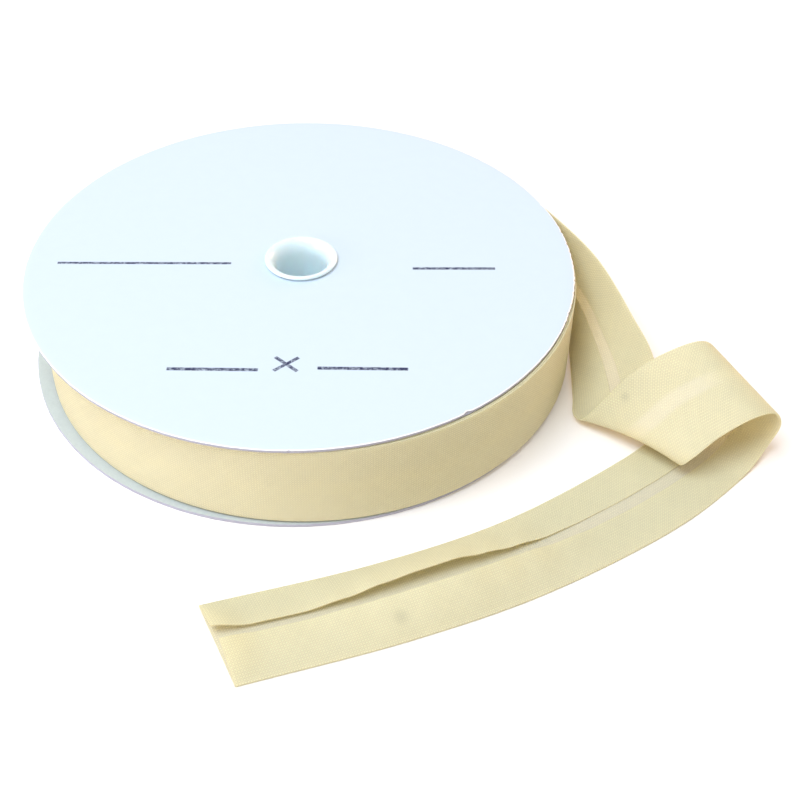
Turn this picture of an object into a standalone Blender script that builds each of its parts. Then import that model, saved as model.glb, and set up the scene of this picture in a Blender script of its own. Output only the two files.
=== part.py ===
"""Roll of folded bias tape on a card reel, its loose end turned over and lying in front.

The origin is under the middle of the whole part, on the surface it rests on.
Lengths are metres; the tables give millimetres from the reel's axis.
"""

import math

import bmesh
import bpy
from mathutils import Vector

MM = 0.001

# Reel: two card discs on a plastic hub
REEL_AXIS = (-19.47 * MM, 18.2 * MM)
CARD_RADIUS = 57.1 * MM
CARD_THICKNESS = 0.7 * MM
CLEARANCE = 0.3 * MM

# Tape as folded: both edges turned to the middle of one face
TAPE_WIDTH = 18.0 * MM
LAYER = 0.4 * MM
LAYER_GAP = 0.3 * MM
MIDDLE_GAP = 2.6 * MM
FOLD_ROUND = 0.3 * MM

# Hub tube with a rolled lip on top and a flush flare below
BORE_RADIUS = 5.3 * MM
TUBE_RADIUS = 6.2 * MM
LIP_RADIUS = 7.6 * MM
LIP_THICKNESS = 0.7 * MM
FUNNEL_DEPTH = 3.2 * MM

# Winding: the outermost turns sit off the reel's axis, towards the front right
WINDING_RADIUS = 55.4 * MM
WINDING_CENTRE = (1.8 * MM, -0.9 * MM)

# Heights worked out from the stack of parts
LOWER_CARD_TOP = CARD_THICKNESS
TAPE_BOTTOM = LOWER_CARD_TOP + CLEARANCE
TAPE_TOP = TAPE_BOTTOM + TAPE_WIDTH
UPPER_CARD_BOTTOM = TAPE_TOP + CLEARANCE
UPPER_CARD_TOP = UPPER_CARD_BOTTOM + CARD_THICKNESS
HUB_TOP = UPPER_CARD_TOP + CLEARANCE + LIP_THICKNESS
TUBE_HOLE_RADIUS = TUBE_RADIUS + CLEARANCE

# Middle of the ground layer measured from its inner face, and the whole folded thickness
HALF_LAYER = LAYER / 2
FOLDED_THICKNESS = 2 * LAYER + LAYER_GAP

# Where the loose end still hugs the winding: angles in degrees round the reel
HUGGING_ANGLES = (66, 55, 44, 33)

# Places along the loose end after it leaves the winding. Each row gives the two
# creased edges, the one that stood below on the reel and the one that stood above.
# place, lower edge x, y, z, upper edge x, y, z (mm from the reel's axis)
LOOSE_END = (
    ("parting from the roll", 55.7, 16.2, 1.0, 56.5, 18.2, 18.9),
    ("leaning out", 58.3, 3.0, 1.0, 63.7, 6.0, 17.2),
    ("half laid over", 58.2, -9.0, 0.75, 69.8, -8.6, 13.2),
    ("nearly flat", 57.6, -19.0, 0.5, 73.2, -17.0, 9.6),
    ("into the sharp fold", 57.2, -26.8, 0.9, 77.0, -36.3, 2.8),
    ("sharp fold", 58.2, -29.4, 2.4, 78.0, -40.7, 4.1),
    ("out of the sharp fold", 60.5, -29.2, 5.4, 79.2, -41.3, 6.3),
    ("climbing back", 68.3, -25.5, 14.0, 83.0, -39.8, 9.6),
    ("crown of the loop", 78.8, -22.9, 18.9, 90.0, -37.3, 12.7),
    ("over the crown", 82.6, -21.8, 17.8, 94.0, -35.3, 11.9),
    ("nose of the loop", 85.0, -20.8, 12.5, 96.0, -34.5, 8.3),
    ("turning under", 82.2, -22.6, 3.8, 94.6, -34.9, 3.1),
    ("on the table", 75.8, -28.2, 0.3, 89.3, -40.9, 0.3),
    ("long curve", 63.9, -38.8, 0.2, 75.5, -53.9, 0.2),
    ("middle of the curve", 40.9, -55.0, 0.2, 48.9, -71.3, 0.2),
    ("straightening", 17.3, -66.0, 0.2, 24.9, -82.4, 0.2),
    ("cut end", -11.9, -77.0, 0.2, -4.8, -93.5, 0.2),
)

# How far the turned-in flap of the lower edge stands up near the cut end
# distance from the cut end in mm, lift in degrees
FLAP_LIFT = ((0, 9), (20, 5), (36, 12), (52, 18), (68, 11), (84, 0))

STEPS_PER_PLACE = 5
DISC_STEPS = 96
HUB_STEPS = 48
WINDING_STEPS_PER_QUARTER = 24

PAPER_WHITE = (0.83, 0.93, 0.99, 1.0)
HUB_WHITE = (0.87, 0.95, 0.95, 1.0)
CREAM_ROLL = (0.79, 0.68, 0.43, 1.0)
CREAM_LOOSE = (0.84, 0.77, 0.52, 1.0)


def clear_scene():
    for obj in list(bpy.data.objects):
        bpy.data.objects.remove(obj, do_unlink=True)


def new_material(name, colour, roughness):
    material = bpy.data.materials.new(name)
    material.use_nodes = True
    shader = material.node_tree.nodes["Principled BSDF"]
    shader.inputs["Base Color"].default_value = colour
    shader.inputs["Roughness"].default_value = roughness
    shader.inputs["Metallic"].default_value = 0.0
    return material


def add_to_part(obj, collection, reel, material):
    """Give an object its material and stand it on the reel's axis."""
    obj.data.materials.append(material)
    collection.objects.link(obj)
    obj.parent = reel


def turned(name, profile, steps):
    """Turn a closed outline of (radius, height) points round the Z axis."""
    mesh = bpy.data.meshes.new(name)
    points = [(radius, 0.0, height) for radius, height in profile]
    edges = [(i, (i + 1) % len(points)) for i in range(len(points))]
    mesh.from_pydata(points, edges, [])
    obj = bpy.data.objects.new(name, mesh)
    screw = obj.modifiers.new("Turn", "SCREW")
    screw.axis = "Z"
    screw.angle = math.tau
    screw.steps = steps
    screw.render_steps = steps
    screw.use_merge_vertices = True
    screw.merge_threshold = 0.00001
    screw.use_smooth_shade = True
    return obj


def upper_card():
    outline = (
        (CARD_RADIUS, UPPER_CARD_TOP),
        (CARD_RADIUS, UPPER_CARD_BOTTOM),
        (TUBE_HOLE_RADIUS, UPPER_CARD_BOTTOM),
        (TUBE_HOLE_RADIUS, UPPER_CARD_TOP),
    )
    return turned("flange_top", outline, DISC_STEPS)


def lower_card():
    """The lower card's hole is countersunk for the hub's flush flare."""
    outline = (
        (CARD_RADIUS, LOWER_CARD_TOP),
        (CARD_RADIUS, 0.0),
        (LIP_RADIUS + 2 * CLEARANCE, 0.0),
        (TUBE_HOLE_RADIUS + CLEARANCE, LOWER_CARD_TOP),
    )
    return turned("flange_bottom", outline, DISC_STEPS)


def hub():
    """A tube: rounded lip over the upper card, funnel mouth, flush flare below."""
    lip_bottom = HUB_TOP - LIP_THICKNESS
    half_lip = LIP_THICKNESS / 2
    outline = [(BORE_RADIUS + 1.5 * MM, HUB_TOP)]
    for angle in (90, 45, 0, -45, -90):
        turn = math.radians(angle)
        outline.append((LIP_RADIUS - half_lip + half_lip * math.cos(turn),
                        lip_bottom + half_lip + half_lip * math.sin(turn)))
    outline += [
        (TUBE_RADIUS, lip_bottom),
        (TUBE_RADIUS, LOWER_CARD_TOP),
        (LIP_RADIUS, 0.0),
        (BORE_RADIUS + 1.0 * MM, 0.0),
        (BORE_RADIUS, LOWER_CARD_TOP + FUNNEL_DEPTH),
        (BORE_RADIUS, HUB_TOP - FUNNEL_DEPTH),
        (BORE_RADIUS + 0.5 * MM, HUB_TOP - 0.4 * FUNNEL_DEPTH),
    ]
    return turned("hub", outline, HUB_STEPS)


def add_circle(curve, centre, radius):
    """A circle of four points with the usual handle length."""
    handle = radius * 4 / 3 * math.tan(math.pi / 8)
    spline = curve.splines.new("BEZIER")
    spline.bezier_points.add(3)
    for index, point in enumerate(spline.bezier_points):
        turn = index * math.pi / 2
        out = Vector((math.cos(turn), math.sin(turn), 0))
        along = Vector((-math.sin(turn), math.cos(turn), 0))
        place = Vector((*centre, 0)) + radius * out
        point.co = place
        point.handle_left = place - handle * along
        point.handle_right = place + handle * along
    spline.use_cyclic_u = True


def winding():
    """The wound tape as one ring, its outside a little off the hub's axis."""
    curve = bpy.data.curves.new("tape_roll", "CURVE")
    curve.dimensions = "2D"
    curve.fill_mode = "BOTH"
    curve.extrude = TAPE_WIDTH / 2
    curve.resolution_u = WINDING_STEPS_PER_QUARTER
    add_circle(curve, WINDING_CENTRE, WINDING_RADIUS)
    add_circle(curve, (0.0, 0.0), TUBE_HOLE_RADIUS)
    obj = bpy.data.objects.new("tape_roll", curve)
    obj.location.z = TAPE_BOTTOM + TAPE_WIDTH / 2
    return obj


def winding_surface(angle):
    """Distance of the winding's outside from the reel's axis, at an angle round it."""
    toward = Vector((math.cos(angle), math.sin(angle)))
    centre = Vector(WINDING_CENTRE)
    along = centre.dot(toward)
    aside_squared = centre.length_squared - along * along
    return along + math.sqrt(WINDING_RADIUS ** 2 - aside_squared)


def loose_end_places():
    """Both edges of the tape, from where it hugs the winding to the cut end."""
    places = []
    for degrees in HUGGING_ANGLES:
        angle = math.radians(degrees)
        radius = winding_surface(angle) + CLEARANCE + FOLDED_THICKNESS - HALF_LAYER
        x = radius * math.cos(angle)
        y = radius * math.sin(angle)
        places.append((Vector((x, y, TAPE_BOTTOM)), Vector((x, y, TAPE_TOP))))
    for row in LOOSE_END:
        lower = Vector(row[1:4]) * MM
        upper = Vector(row[4:7]) * MM
        places.append((lower, upper))
    return places


def knot_spacing(places):
    """A running parameter for the places: the root of the distance between them."""
    knots = [0.0]
    for before, after in zip(places, places[1:]):
        gap = sum((b - a).length for a, b in zip(before, after)) / len(before)
        knots.append(knots[-1] + math.sqrt(gap))
    return knots


def slopes_through(points, knots):
    """The smooth curve's slope at each point, from the stretches on both sides of it."""
    stretches = []
    for i in range(len(points) - 1):
        stretches.append((points[i + 1] - points[i]) / (knots[i + 1] - knots[i]))
    slopes = [stretches[0]]
    for i in range(1, len(points) - 1):
        before = knots[i] - knots[i - 1]
        after = knots[i + 1] - knots[i]
        slopes.append((stretches[i - 1] * after + stretches[i] * before) / (before + after))
    slopes.append(stretches[-1])
    return slopes


def smooth_edge(points, knots, steps):
    """A smooth curve through an edge's points, kept a layer's half above the table."""
    slopes = slopes_through(points, knots)
    curve = []
    for i in range(len(points) - 1):
        span = knots[i + 1] - knots[i]
        for step in range(steps):
            t = step / steps
            curve.append(points[i] * (2 * t ** 3 - 3 * t ** 2 + 1)
                         + slopes[i] * span * (t ** 3 - 2 * t ** 2 + t)
                         + points[i + 1] * (3 * t ** 2 - 2 * t ** 3)
                         + slopes[i + 1] * span * (t ** 3 - t ** 2))
    curve.append(points[-1].copy())
    for point in curve:
        point.z = max(point.z, HALF_LAYER)
    return curve


def smooth_edges(places, steps):
    """Both edges as smooth curves, in step with each other."""
    knots = knot_spacing(places)
    lower = smooth_edge([place[0] for place in places], knots, steps)
    upper = smooth_edge([place[1] for place in places], knots, steps)
    return list(zip(lower, upper))


def lift_at(distance):
    """The flap's lift in radians, at a distance in metres from the cut end."""
    place = distance / MM
    for (start, low), (end, high) in zip(FLAP_LIFT, FLAP_LIFT[1:]):
        if start <= place <= end:
            t = (place - start) / (end - start)
            t = t * t * (3 - 2 * t)
            return math.radians(low + (high - low) * t)
    return 0.0


def folded_outline(lift):
    """The tape's cross-section: ground layer below, two turned-in flaps above it.

    Points are (across, up); across runs from the lower edge to the upper one, and
    up from the middle of the ground layer towards the folded side.
    """
    edge = TAPE_WIDTH / 2
    round_start = edge - FOLD_ROUND
    inner_edge = edge - LAYER - FOLD_ROUND / 2
    flap_end = MIDDLE_GAP / 2
    flap_low = HALF_LAYER + LAYER_GAP
    flap_top = flap_low + LAYER
    flap_width = inner_edge - flap_end
    lean = math.cos(lift)
    rise = math.sin(lift)
    flap_inner_tip = (-inner_edge + flap_width * lean, flap_low + flap_width * rise)
    flap_outer_tip = (flap_inner_tip[0] - LAYER * rise, flap_inner_tip[1] + LAYER * lean)
    return (
        (-round_start, -HALF_LAYER),
        (round_start, -HALF_LAYER),
        (edge, 0.0),
        (edge, flap_top - HALF_LAYER),
        (round_start, flap_top),
        (flap_end, flap_top),
        (flap_end, flap_low),
        (inner_edge, flap_low),
        (inner_edge, HALF_LAYER),
        (-inner_edge, HALF_LAYER),
        (-inner_edge, flap_low),
        flap_inner_tip,
        flap_outer_tip,
        (-round_start, flap_top),
        (-edge, flap_top - HALF_LAYER),
        (-edge, 0.0),
    )


def place_section(rows, index, lift):
    """The cross-section's points in space at one row of the two edges."""
    lower, upper = rows[index]
    before = rows[max(index - 1, 0)]
    after = rows[min(index + 1, len(rows) - 1)]
    lower_way = (after[0] - before[0]).normalized()
    upper_way = (after[1] - before[1]).normalized()
    across = (upper - lower).normalized()
    stretch = (upper - lower).length / TAPE_WIDTH
    points = []
    for along_width, up in folded_outline(lift):
        share = along_width / TAPE_WIDTH + 0.5
        way = lower_way.lerp(upper_way, min(max(share, 0.0), 1.0))
        normal = way.cross(across).normalized()
        points.append((lower + upper) / 2 + across * along_width * stretch + normal * up)
    return points


def loose_end():
    """The folded tape's loose end, lofted along its two edges."""
    rows = smooth_edges(loose_end_places(), STEPS_PER_PLACE)
    to_cut_end = [0.0] * len(rows)
    for i in range(len(rows) - 2, -1, -1):
        to_cut_end[i] = to_cut_end[i + 1] + (rows[i + 1][0] - rows[i][0]).length
    model = bmesh.new()
    rings = []
    for index in range(len(rows)):
        points = place_section(rows, index, lift_at(to_cut_end[index]))
        rings.append([model.verts.new(point) for point in points])
    count = len(rings[0])
    for ring, following in zip(rings, rings[1:]):
        for i in range(count):
            j = (i + 1) % count
            model.faces.new((ring[i], ring[j], following[j], following[i]))
    model.faces.new(reversed(rings[0]))
    model.faces.new(rings[-1])
    bmesh.ops.recalc_face_normals(model, faces=model.faces)
    mesh = bpy.data.meshes.new("tape_end")
    model.to_mesh(mesh)
    model.free()
    mesh.shade_smooth()
    mesh.set_sharp_from_angle(angle=math.radians(40))
    return bpy.data.objects.new("tape_end", mesh)


def main():
    clear_scene()
    collection = bpy.data.collections.new("bias_tape_roll")
    bpy.context.scene.collection.children.link(collection)
    reel = bpy.data.objects.new("reel_axis", None)
    reel.location = (*REEL_AXIS, 0.0)
    collection.objects.link(reel)
    card = new_material("reel_card", PAPER_WHITE, 0.6)
    plastic = new_material("hub_plastic", HUB_WHITE, 0.25)
    wound_cloth = new_material("wound_tape_cloth", CREAM_ROLL, 0.85)
    loose_cloth = new_material("loose_tape_cloth", CREAM_LOOSE, 0.85)
    add_to_part(upper_card(), collection, reel, card)
    add_to_part(lower_card(), collection, reel, card)
    add_to_part(hub(), collection, reel, plastic)
    add_to_part(winding(), collection, reel, wound_cloth)
    add_to_part(loose_end(), collection, reel, loose_cloth)


main()
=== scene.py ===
"""Dresses the roll of bias tape: card reel, hub, wound turns and the loose folded end.

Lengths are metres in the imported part's frame. The tables give millimetres from the reel's axis.
"""
import math

import bmesh
import bpy
from bpy.props import FloatProperty, FloatVectorProperty, IntProperty, PointerProperty
from mathutils import Matrix, Vector


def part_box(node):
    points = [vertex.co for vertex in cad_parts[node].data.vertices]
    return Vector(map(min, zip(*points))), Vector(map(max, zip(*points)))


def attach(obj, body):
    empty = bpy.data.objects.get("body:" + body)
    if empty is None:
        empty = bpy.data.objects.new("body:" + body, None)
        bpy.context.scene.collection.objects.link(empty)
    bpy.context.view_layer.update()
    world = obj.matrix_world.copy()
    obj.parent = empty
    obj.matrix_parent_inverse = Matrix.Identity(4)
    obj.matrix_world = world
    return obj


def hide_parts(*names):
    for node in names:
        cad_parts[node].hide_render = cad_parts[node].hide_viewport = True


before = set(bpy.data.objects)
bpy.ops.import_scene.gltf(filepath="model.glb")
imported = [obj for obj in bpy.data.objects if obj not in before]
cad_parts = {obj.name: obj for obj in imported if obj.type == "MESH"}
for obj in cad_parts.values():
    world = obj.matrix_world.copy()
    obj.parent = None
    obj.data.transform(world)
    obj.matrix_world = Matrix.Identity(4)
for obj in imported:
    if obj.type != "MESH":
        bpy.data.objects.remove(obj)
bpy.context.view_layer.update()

bl_info = {
    "name": "Bias tape roll",
    "version": (1, 0, 0),
    "blender": (4, 5, 0),
    "location": "3D View > Sidebar > Bias tape",
    "description": "A reel of folded bias tape with its loose end lying in front",
    "category": "Object",
}

MM = 0.001

# The reel as the frame has it
LOWER_CARD_LOW, LOWER_CARD_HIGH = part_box("flange_bottom")
UPPER_CARD_LOW, UPPER_CARD_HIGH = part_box("flange_top")
TAPE_LOW, TAPE_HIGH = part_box("tape_roll")
HUB_LOW, HUB_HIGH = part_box("hub")
REEL_AXIS = (LOWER_CARD_LOW + LOWER_CARD_HIGH).xy / 2
CARD_RADIUS = (LOWER_CARD_HIGH.x - LOWER_CARD_LOW.x) / 2
LIP_RADIUS = (HUB_HIGH.x - HUB_LOW.x) / 2
TAPE_WIDTH = TAPE_HIGH.z - TAPE_LOW.z

# The outermost turn: where it leaves the roll, in degrees round the reel, and its circle
LEAVING_ANGLE = 5.0
LEAVING_RADIUS = 55.85 * MM
WINDING_CENTRE = Vector((2.05, -1.1)) * MM
HIDDEN_ANGLE = 385.0
FOOT_GAP = 0.22 * MM
LAST_HUGGING_ANGLE = 33.0
HUGGING_STEP = 8.0

CARD_HOLE_RADIUS = 6.5 * MM
FIRST_TURN_RADIUS = 6.9 * MM
FLOOR_HALF_SIDE = 3.0
FLOOR_DROP = 0.05 * MM

# Steps round a card's rim and across a flap, and rows over which the painted sheen over the gap fades in
RIM_STEPS = 720
HUB_STEPS = 144
FLAP_STEPS = 8
FADE_ROWS = 6

# Finishes of a card, in the order of its materials
PAPER, BOARD, EDGE, RIM = 0, 1, 2, 3

# Places along the loose end after it leaves the winding. Each row gives the two creased
# edges of the ground layer, the one that stood below on the reel and then the one above,
# and how far the middle bows up from the straight line between them.
LOOSE_END = (
    # place, lower edge x, y, z, upper edge x, y, z, bow
    ("parting from the roll", 55.27, 16.06, 1.0, 56.08, 18.06, 18.9, 0.0),
    ("leaning out", 57.8, 3.0, 1.0, 63.5, 6.0, 17.2, 0.0),
    ("half laid over", 57.9, -9.0, 0.7, 69.7, -8.6, 13.2, 0.0),
    ("nearly flat", 57.5, -19.0, 0.5, 73.2, -17.0, 9.6, 0.0),
    ("into the sharp fold", 57.2, -25.4, 0.9, 75.6, -36.6, 1.9, 1.1),
    ("sharp fold", 58.4, -27.9, 2.2, 76.1, -41.6, 3.4, 1.5),
    ("out of the sharp fold", 60.5, -28.1, 5.4, 77.8, -42.3, 6.0, 1.2),
    ("climbing back", 68.3, -25.5, 14.0, 83.0, -39.8, 9.6, 0.4),
    ("crown of the loop", 78.8, -22.9, 18.9, 90.0, -37.3, 12.7, 0.0),
    ("over the crown", 82.6, -21.8, 17.8, 94.0, -35.3, 11.9, 0.0),
    ("nose of the loop", 85.0, -20.8, 12.5, 96.0, -34.5, 8.3, 0.0),
    ("turning under", 82.2, -22.6, 3.8, 94.6, -34.9, 3.1, 0.0),
    ("on the table", 75.8, -28.2, 0.3, 89.3, -40.9, 0.3, 0.0),
    ("long curve", 63.9, -38.8, 0.15, 75.5, -53.9, 0.15, 0.0),
    ("middle of the curve", 40.9, -55.0, 0.15, 48.9, -71.3, 0.15, 0.0),
    ("straightening", 17.3, -66.0, 0.15, 24.9, -82.4, 0.15, 0.0),
    ("cut end", -13.0, -76.7, 0.6, -4.85, -93.0, 0.15, 0.0),
)

# How far the turned-in flaps spring up near the cut end, and how unevenly they were turned in
FLAPS = (
    # distance from the cut end in mm, lift of the lower edge's flap and of the upper edge's in degrees,
    # and half of what the upper edge turns in more than the lower one, in mm
    (0, 20, 32, 0.6), (7, 7, 17, 0.6), (16, 6, 16, 0.6), (24, 13, 21, 0.6), (31, 21, 26, 0.6),
    (38, 25, 32, 0.6), (45, 26, 34, 0.6), (51, 19, 29, 0.6), (57, 11, 20, 0.6), (65, 2, 7, 0.5),
    (73, 0, 1, 0.4), (84, 0, 0, 0.2), (104, 0, 0, -0.3), (118, 0, 0, 0.1),
    (132, 0, 0, 0.8), (142, 0, 0, 0.6), (154, 0, 0, 0.3), (169, 0, 0, -0.1), (195, 0, 0, 0.5),
)

# Stretch of the tape, by the names of its places, where a painted sheen lies along the gap between the flaps
PAINTED_SHEEN_STRETCH = ("sharp fold", "crown of the loop")

# Nicks in the upper card's rim
RIM_NICKS = (
    # angle round the reel in degrees, half width in degrees, depth in mm
    (-53.6, 0.9, 0.45), (-88.0, 0.5, 0.2), (13.0, 0.6, 0.25), (8.5, 0.5, 0.2),
    (24.0, 0.7, 0.22), (-16.0, 0.6, 0.2),
)

# Stamped marks on the upper card: plain ruled bars
STAMPED_BARS = (
    # middle x, middle y, half length, half width, turned by degrees
    (-32.5, -2.2, 18.0, 0.34, 2.0),
    (32.0, -1.6, 8.6, 0.40, 2.0),
    (-14.2, -35.6, 8.6, 0.42, 1.0),
    (14.2, -34.4, 8.6, 0.42, 1.0),
    (-0.4, -33.6, 3.0, 0.36, 42.0),
    (-0.4, -33.6, 3.0, 0.36, -42.0),
)

# Soft grey spots where the cloth was touched: x, y, z and radius in mm
CLOTH_SPOTS = (
    (66.0, -29.0, 9.6, 1.5),
    (22.3, -79.3, 2.2, 2.0),
)


def linear(hex_colour, alpha=1.0):
    """An sRGB hex colour such as #EFE6BE as linear red, green, blue and alpha."""
    channels = []
    for start in (1, 3, 5):
        value = int(hex_colour[start:start + 2], 16) / 255
        channels.append(value / 12.92 if value <= 0.04045 else ((value + 0.055) / 1.055) ** 2.4)
    return (*channels, alpha)


class ReelSizes(bpy.types.PropertyGroup):
    card_radius: FloatProperty(
        name="Card radius", description="Radius of both card discs",
        default=CARD_RADIUS, unit="LENGTH", subtype="DISTANCE")
    paper_thickness: FloatProperty(
        name="Paper thickness", description="White facing paper on the outside of each card",
        default=0.13 * MM, unit="LENGTH", subtype="DISTANCE")
    rim_raggedness: FloatProperty(
        name="Rim raggedness", description="How far the die-cut rim wanders in and out",
        default=0.05 * MM, unit="LENGTH", subtype="DISTANCE")
    bore_radius: FloatProperty(
        name="Bore radius", description="Radius of the hole through the hub",
        default=5.3 * MM, unit="LENGTH", subtype="DISTANCE")
    mouth_depth: FloatProperty(
        name="Mouth depth", description="Height over which the hub's mouth flares out",
        default=3.4 * MM, unit="LENGTH", subtype="DISTANCE")
    paper_colour: FloatVectorProperty(
        name="Paper", description="White facing paper of the cards",
        default=linear("#D6E4EE"), size=4, subtype="COLOR")
    board_colour: FloatVectorProperty(
        name="Board", description="Grey board behind the paper",
        default=linear("#C3CBC9"), size=4, subtype="COLOR")
    hub_colour: FloatVectorProperty(
        name="Hub", description="Moulded plastic of the hub",
        default=linear("#E9FAFD"), size=4, subtype="COLOR")


class TapeSizes(bpy.types.PropertyGroup):
    cut_width: FloatProperty(
        name="Cut width", description="Width of the bias strip before its edges are turned in",
        default=33.7 * MM, unit="LENGTH", subtype="DISTANCE")
    cloth_thickness: FloatProperty(
        name="Cloth thickness", description="Thickness of one layer of cloth",
        default=0.18 * MM, unit="LENGTH", subtype="DISTANCE")
    fold_radius: FloatProperty(
        name="Fold radius", description="Radius of the pressed folds at the middle of the cloth",
        default=0.096 * MM, unit="LENGTH", subtype="DISTANCE")
    turn_pitch: FloatProperty(
        name="Turn pitch", description="Thickness that each turn adds to the roll",
        default=0.475 * MM, unit="LENGTH", subtype="DISTANCE")
    yarn_pitch: FloatProperty(
        name="Yarn pitch", description="Distance from one yarn to the next",
        default=0.35 * MM, unit="LENGTH", subtype="DISTANCE")
    row_spacing: FloatProperty(
        name="Row spacing", description="Distance between rows of the cloth mesh",
        default=0.8 * MM, unit="LENGTH", subtype="DISTANCE")
    turn_steps: IntProperty(
        name="Steps a turn", description="Straight pieces in one inner turn of the winding",
        default=60, min=12)
    cloth_colour: FloatVectorProperty(
        name="Cloth", description="Dyed cream of the cloth's right side",
        default=linear("#FCF9D8"), size=4, subtype="COLOR")
    back_colour: FloatVectorProperty(
        name="Wrong side", description="Cloth's wrong side, seen between the turned-in edges",
        default=linear("#F8F5E0"), size=4, subtype="COLOR")


class StageSizes(bpy.types.PropertyGroup):
    camera_offset: FloatVectorProperty(
        name="Camera", description="Camera's place from the foot of the reel's axis",
        default=(0.02138, -0.21747, 0.17665), size=3, subtype="TRANSLATION")
    camera_pitch: FloatProperty(
        name="Pitch", description="How far below level the camera looks",
        default=math.radians(41.93), subtype="ANGLE")
    camera_roll: FloatProperty(
        name="Roll", description="How far the camera is turned about its own axis",
        default=math.radians(1.32), subtype="ANGLE")
    lens: FloatProperty(
        name="Lens", description="Focal length for a 36 mm wide frame", default=57.19)
    key_power: FloatProperty(
        name="Key light", description="Power of the soft box high on the left",
        default=8.5, unit="POWER")
    side_power: FloatProperty(
        name="Side light", description="Power of the small soft box low on the left",
        default=3.1, unit="POWER")
    back_power: FloatProperty(
        name="Back light", description="Power of the amber soft box low behind the loop",
        default=3.0, unit="POWER")
    light_colour: FloatVectorProperty(
        name="Key", description="Colour of the soft box high on the left",
        default=linear("#DBEBFF"), size=4, subtype="COLOR")
    side_colour: FloatVectorProperty(
        name="Side", description="Colour of the soft box low on the left",
        default=linear("#FBF0FC"), size=4, subtype="COLOR")
    back_light_colour: FloatVectorProperty(
        name="Amber", description="Colour of the soft box behind the loop, which shines through the cloth",
        default=linear("#FFC48C"), size=4, subtype="COLOR")
    sky_strength: FloatProperty(
        name="Room light", description="Brightness of the white room", default=0.69)
    ceiling_colour: FloatVectorProperty(
        name="Ceiling", description="Colour of the room's light from above",
        default=linear("#FBF5F0"), size=4, subtype="COLOR")
    wall_colour: FloatVectorProperty(
        name="Walls", description="Colour of the room's light from the sides, warmer than above",
        default=linear("#FFEBD8"), size=4, subtype="COLOR")
    floor_colour: FloatVectorProperty(
        name="Floor", description="Pale floor under the reel",
        default=linear("#FFFBF6"), size=4, subtype="COLOR")


def add(tree, kind, inputs=None, **settings):
    """Add a node: its settings, and its inputs by name or number, each a value or a socket to link."""
    new = tree.nodes.new(kind)
    for name, value in settings.items():
        setattr(new, name, value)
    for key, value in (inputs or {}).items():
        if isinstance(value, bpy.types.NodeSocket):
            tree.links.new(value, new.inputs[key])
        else:
            new.inputs[key].default_value = value
    return new


def new_finish(name, colour, roughness, **shader_values):
    """A material with its shader; values given by name go straight on the shader's sockets."""
    material = bpy.data.materials.new(name)
    material.use_nodes = True
    shader = material.node_tree.nodes["Principled BSDF"]
    shader.inputs["Base Color"].default_value = colour
    shader.inputs["Roughness"].default_value = roughness
    for socket, value in shader_values.items():
        shader.inputs[socket.replace("_", " ")].default_value = value
    return material, material.node_tree, shader


def reel_millimetres(tree):
    """Object coordinates as millimetres from the foot of the reel's axis."""
    where = add(tree, "ShaderNodeTexCoord")
    shift = (-REEL_AXIS.x / MM, -REEL_AXIS.y / MM, 0.0)
    return add(tree, "ShaderNodeMapping", {
        "Vector": where.outputs["Object"],
        "Scale": (1 / MM, 1 / MM, 1 / MM),
        "Location": shift,
    }).outputs["Vector"]


def tinted(tree, colour, shade, strength, middle=0.5):
    """The colour made lighter or darker by a pattern that runs from 0 to 1."""
    value = add(tree, "ShaderNodeMapRange", {
        "Value": shade, "From Min": 0.0, "From Max": 1.0,
        "To Min": 1.0 - strength * middle, "To Max": 1.0 + strength * (1.0 - middle),
    })
    return add(tree, "ShaderNodeHueSaturation", {
        "Value": value.outputs["Result"], "Color": colour}).outputs[0]


def surfaced(tree, shader, colour, height, strength, depth):
    """Give the shader its colour and a bump from a pattern, and return the bumped normal."""
    bump = add(tree, "ShaderNodeBump", {"Height": height, "Strength": strength, "Distance": depth})
    tree.links.new(colour, shader.inputs["Base Color"])
    tree.links.new(bump.outputs["Normal"], shader.inputs["Normal"])
    return bump.outputs["Normal"]


def white_paper():
    """Matt coated paper: an even cool white with a faint cloudiness from the board's fibres."""
    reel = bpy.context.scene.reel_sizes
    material, tree, shader = new_finish(
        "coated_paper_on_board", reel.paper_colour, 0.55, Specular_IOR_Level=0.35)
    place = reel_millimetres(tree)
    cloud = add(tree, "ShaderNodeTexNoise", {
        "Vector": place, "Scale": 0.35, "Detail": 4.0, "Roughness": 0.6})
    fibre = add(tree, "ShaderNodeTexNoise", {
        "Vector": place, "Scale": 2.4, "Detail": 3.0, "Roughness": 0.7})
    colour = tinted(tree, reel.paper_colour, cloud.outputs["Fac"], 0.035)
    colour = tinted(tree, colour, fibre.outputs["Fac"], 0.03)
    colour = stamped_over(tree, place, colour)
    surfaced(tree, shader, colour, fibre.outputs["Fac"], 0.25, 0.03 * MM)
    return material


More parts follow.
